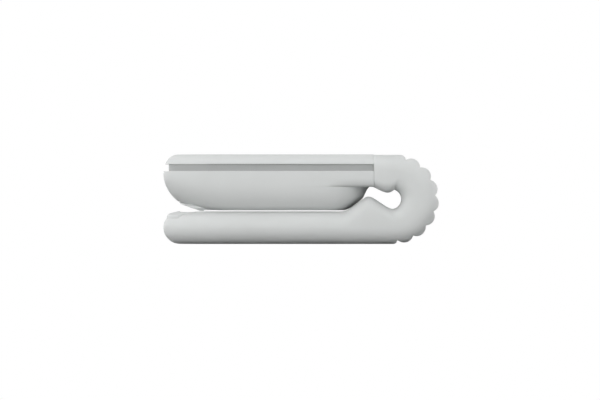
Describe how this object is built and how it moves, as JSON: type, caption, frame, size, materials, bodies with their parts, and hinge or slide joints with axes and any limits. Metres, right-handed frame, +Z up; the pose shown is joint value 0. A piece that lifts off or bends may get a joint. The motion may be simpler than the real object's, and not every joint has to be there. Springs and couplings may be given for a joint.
{
  "type": "fingertip pulse oximeter",
  "caption": "Soft C-shaped clip with a ribbed sprung back and a rigid display module on its upper arm; it closes on a fingertip to read pulse and blood oxygen.",
  "frame": {"origin": "centre of the resting face under the lower arm, below the middle of the bounding box", "axes": "+X towards the ribbed back, -X towards the finger mouth; +Y across the width; +Z up, square to the resting face"},
  "size_m": [0.0659, 0.028, 0.0214],
  "materials": {
    "soft_elastomer": "matte moulded",
    "pad_silicone": "satin silicone",
    "frame_plastic": "fine satin",
    "cell_foil": "foil pouch",
    "board_green": "solder mask",
    "chip_black": "moulded epoxy",
    "filter_plastic": "dark filter",
    "connector_white": "moulded",
    "contact_gold": "gold plated",
    "screw_steel": "plated",
    "spring_steel": "rolled",
    "flex_polyimide": "polyimide film",
    "grey_plastic": "fine satin",
    "window_glass": "clear gloss over dark",
    "foam_black": "closed-cell foam",
    "led_resin": "clear resin",
    "button_plastic": "satin"
  },
  "bodies": {
    "lower_arm": {"lower_sleeve": "soft_elastomer", "lower_pad": "pad_silicone", "lower_tray": "frame_plastic", "battery_cell": "cell_foil", "sensor_board": "board_green", "photodiode": "chip_black", "sensor_window": "filter_plastic", "lower_connector": "connector_white", "charge_contact_1": "contact_gold", "charge_contact_2": "contact_gold", "charge_contact_3": "contact_gold", "charge_contact_4": "contact_gold", "strip_screw_lower_left": "screw_steel", "strip_screw_lower_right": "screw_steel"},
    "hinge_back": {"back_ribs": "soft_elastomer", "spring_strip_left": "spring_steel", "spring_strip_right": "spring_steel", "flex_cable": "flex_polyimide"},
    "upper_arm": {"upper_casing": "grey_plastic", "upper_pad": "pad_silicone", "mid_frame": "frame_plastic", "top_cover": "grey_plastic", "rear_block": "soft_elastomer", "display_window": "window_glass", "display_gasket": "foam_black", "display_panel": "chip_black", "main_board": "board_green", "processor_chip": "chip_black", "radio_chip": "chip_black", "power_chip": "chip_black", "button_switch": "chip_black", "main_connector": "connector_white", "sounder": "chip_black", "board_screw_1": "screw_steel", "board_screw_2": "screw_steel", "board_screw_3": "screw_steel", "board_screw_4": "screw_steel", "emitter_board": "board_green", "red_led": "led_resin", "infrared_led": "led_resin", "emitter_window": "filter_plastic", "strip_screw_upper_left": "screw_steel", "strip_screw_upper_right": "screw_steel"},
    "power_button": {"power_button": "button_plastic"}
  },
  "joints": [
    {"name": "hinge_lower", "type": "hinge", "parent": "lower_arm", "child": "hinge_back", "pos_m": [0.02619, 0, 0.00681], "axis": [0, 1, 0], "range_deg": [0, 12.5], "stiffness_Nm_per_rad": 0.5, "springref_deg": -8.59, "deforming": ["spring_strip_left", "spring_strip_right", "flex_cable"]},
    {"name": "hinge_upper", "type": "hinge", "parent": "hinge_back", "child": "upper_arm", "pos_m": [0.02619, 0, 0.01459], "axis": [0, 1, 0], "range_deg": [0, 12.5], "stiffness_Nm_per_rad": 0.5, "springref_deg": -8.59},
    {"name": "button_press", "type": "slide", "parent": "upper_arm", "child": "power_button", "axis": [0, 0, -1], "range_m": [0, 0.0004], "stiffness_N_per_m": 1500, "springref_m": -0.0006}
  ],
  "couplings": [
    {"joint": "hinge_lower", "follows": "hinge_upper", "ratio": 1}
  ]
}
